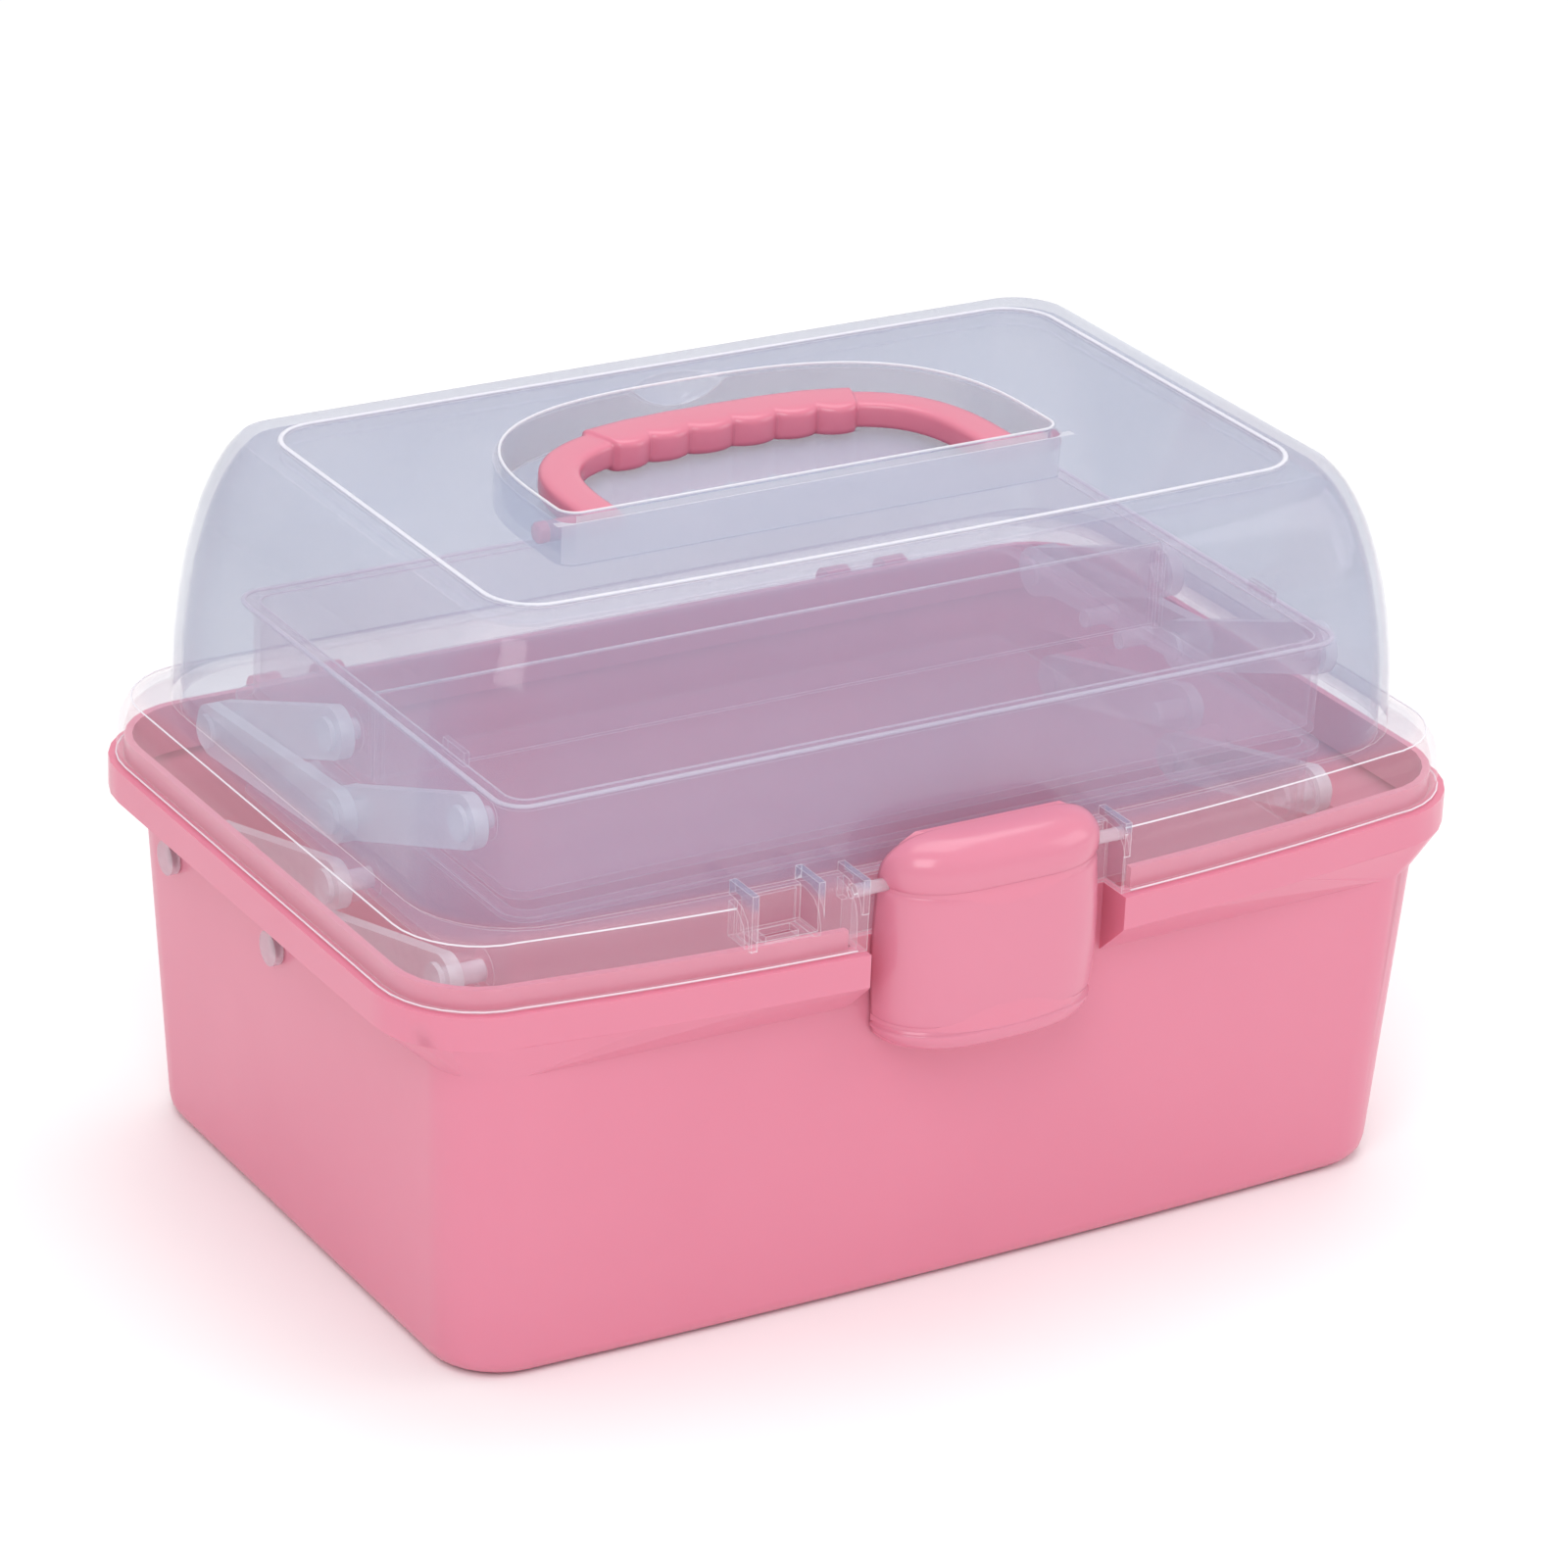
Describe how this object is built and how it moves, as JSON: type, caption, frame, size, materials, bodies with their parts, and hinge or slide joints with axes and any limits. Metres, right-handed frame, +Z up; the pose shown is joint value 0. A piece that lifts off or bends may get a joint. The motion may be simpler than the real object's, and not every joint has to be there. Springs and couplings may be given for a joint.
{
  "type": "makeup storage case",
  "caption": "Lidded storage case with a fold-down handle, a front latch and stepped trays that rise on parallel arms as the clear domed lid opens.",
  "frame": {"origin": "centre of the tub's footprint, on the surface that it stands on", "axes": "+X along the long side to the right seen from the front, +Y to the back, +Z up"},
  "size_m": [0.3346, 0.2397, 0.2078],
  "materials": {
    "pink_tub": "satin gloss injection-moulded polypropylene",
    "pink_fittings": "glossy injection-moulded polypropylene",
    "clear_lid": "clear polypropylene with a slight blue haze",
    "clear_tray": "translucent polypropylene",
    "frosted_link": "natural frosted polypropylene"
  },
  "bodies": {
    "case": {"case_body": "pink_tub", "hinge_pin_left": "frosted_link", "hinge_pin_right": "frosted_link", "case_pins_left": "frosted_link", "case_pins_right": "frosted_link"},
    "lid": {"lid_shell": "clear_lid", "latch_pin": "frosted_link"},
    "handle": {"handle": "pink_fittings"},
    "latch": {"latch": "pink_fittings"},
    "front_lower_arms": {"lower_arm_front_left": "frosted_link", "lower_arm_front_right": "frosted_link"},
    "rear_lower_arms": {"lower_arm_rear_left": "frosted_link", "lower_arm_rear_right": "frosted_link"},
    "lower_tray": {"lower_tray": "clear_tray", "side_bar_left": "frosted_link", "side_bar_right": "frosted_link", "lower_tray_pins_left": "frosted_link", "lower_tray_pins_right": "frosted_link", "bar_pins_left": "frosted_link", "bar_pins_right": "frosted_link"},
    "front_upper_arms": {"upper_arm_front_left": "frosted_link", "upper_arm_front_right": "frosted_link"},
    "rear_upper_arms": {"upper_arm_rear_left": "frosted_link", "upper_arm_rear_right": "frosted_link"},
    "upper_tray": {"upper_tray": "clear_tray", "tray_divider": "clear_tray", "upper_tray_pins_left": "frosted_link", "upper_tray_pins_right": "frosted_link"}
  },
  "joints": [
    {"name": "lid_hinge", "type": "hinge", "parent": "case", "child": "lid", "pos_m": [0, 0.1124, 0.113], "axis": [-1, 0, 0], "range_deg": [0, 110]},
    {"name": "handle_fold", "type": "hinge", "parent": "lid", "child": "handle", "pos_m": [0, -0.005, 0.1997], "axis": [1, 0, 0], "range_deg": [0, 90]},
    {"name": "latch_swing", "type": "hinge", "parent": "lid", "child": "latch", "pos_m": [0, -0.1075, 0.129], "axis": [-1, 0, 0], "range_deg": [0, 25]},
    {"name": "front_lower_arm_swing", "type": "hinge", "parent": "case", "child": "front_lower_arms", "pos_m": [0, 0.005, 0.088], "axis": [-1, 0, 0], "range_deg": [0, 55]},
    {"name": "lower_tray_level", "type": "hinge", "parent": "front_lower_arms", "child": "lower_tray", "pos_m": [0, -0.062, 0.1045], "axis": [-1, 0, 0], "range_deg": [-55, 0]},
    {"name": "rear_lower_arm_swing", "type": "hinge", "parent": "case", "child": "rear_lower_arms", "pos_m": [0, 0.0695, 0.088], "axis": [-1, 0, 0], "range_deg": [0, 55]},
    {"name": "front_upper_arm_swing", "type": "hinge", "parent": "lower_tray", "child": "front_upper_arms", "pos_m": [0, 0, 0.126], "axis": [-1, 0, 0], "range_deg": [0, 55]},
    {"name": "upper_tray_level", "type": "hinge", "parent": "front_upper_arms", "child": "upper_tray", "pos_m": [0, -0.065, 0.15], "axis": [-1, 0, 0], "range_deg": [-55, 0]},
    {"name": "rear_upper_arm_swing", "type": "hinge", "parent": "lower_tray", "child": "rear_upper_arms", "pos_m": [0, 0.076, 0.121], "axis": [-1, 0, 0], "range_deg": [0, 55]}
  ],
  "couplings": [
    {"joint": "front_lower_arm_swing", "follows": "lid_hinge", "ratio": 0.5},
    {"joint": "lower_tray_level", "follows": "lid_hinge", "ratio": -0.5},
    {"joint": "rear_lower_arm_swing", "follows": "lid_hinge", "ratio": 0.5},
    {"joint": "front_upper_arm_swing", "follows": "lid_hinge", "ratio": 0.5},
    {"joint": "upper_tray_level", "follows": "lid_hinge", "ratio": -0.5},
    {"joint": "rear_upper_arm_swing", "follows": "lid_hinge", "ratio": 0.5}
  ]
}
